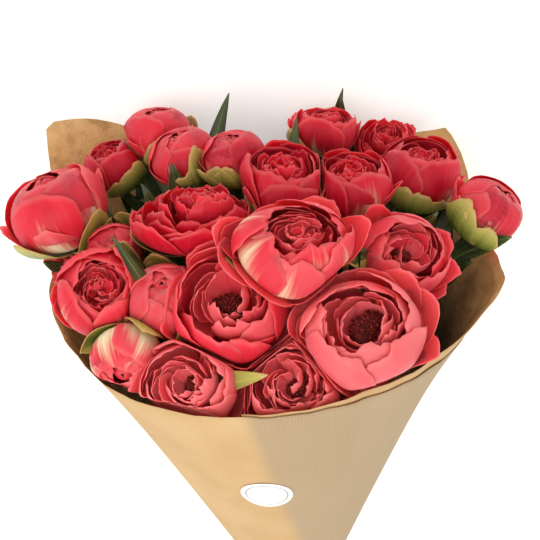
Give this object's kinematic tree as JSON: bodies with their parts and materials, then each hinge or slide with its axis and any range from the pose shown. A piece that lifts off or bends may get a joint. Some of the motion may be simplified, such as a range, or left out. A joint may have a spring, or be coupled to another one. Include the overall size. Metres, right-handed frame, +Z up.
{
  "type": "bunch of peonies",
  "caption": "Bunch of coral peonies with buds and open blooms, wrapped in a cone of kraft paper, tied at the neck and lying on its back.",
  "frame": {"origin": "on the surface, below the middle of the flat back of the wrap, where the bunch rests", "axes": "+Y from the cut stems to the blooms, +Z up, +X to the right as the bunch is seen with its blooms at the top"},
  "size_m": [0.394, 0.5248, 0.3048],
  "materials": {
    "petal": "soft, silky",
    "stem_green": "smooth, waxy",
    "stamen": "matt",
    "kraft_paper": "ribbed, matt",
    "jute_twine": "rough, twisted",
    "label_paper": "smooth, satin"
  },
  "bodies": {
    "root": {"peony_01_petals": "petal", "peony_01_stem": "stem_green", "peony_02_petals": "petal", "peony_02_stem": "stem_green", "peony_03_petals": "petal", "peony_03_stem": "stem_green", "peony_04_petals": "petal", "peony_04_stem": "stem_green", "peony_05_petals": "petal", "peony_05_stem": "stem_green", "peony_06_petals": "petal", "peony_06_stem": "stem_green", "peony_07_petals": "petal", "peony_07_stem": "stem_green", "peony_08_petals": "petal", "peony_08_stem": "stem_green", "peony_09_petals": "petal", "peony_09_stem": "stem_green", "peony_10_petals": "petal", "peony_10_stem": "stem_green", "peony_11_petals": "petal", "peony_11_stem": "stem_green", "peony_12_petals": "petal", "peony_12_stem": "stem_green", "peony_13_petals": "petal", "peony_13_stem": "stem_green", "peony_14_petals": "petal", "peony_14_stem": "stem_green", "peony_14_stamens": "stamen", "peony_15_petals": "petal", "peony_15_stem": "stem_green", "peony_15_stamens": "stamen", "peony_16_petals": "petal", "peony_16_stem": "stem_green", "peony_16_stamens": "stamen", "peony_17_petals": "petal", "peony_17_stem": "stem_green", "peony_17_stamens": "stamen", "peony_18_petals": "petal", "peony_18_stem": "stem_green", "peony_18_stamens": "stamen", "peony_19_petals": "petal", "peony_19_stem": "stem_green", "peony_20_petals": "petal", "peony_20_stem": "stem_green", "peony_21_petals": "petal", "peony_21_stem": "stem_green", "peony_22_petals": "petal", "peony_22_stem": "stem_green", "peony_23_petals": "petal", "peony_23_stem": "stem_green", "paper_wrap": "kraft_paper", "twine_tie": "jute_twine", "round_label": "label_paper"}
  },
  "joints": []
}
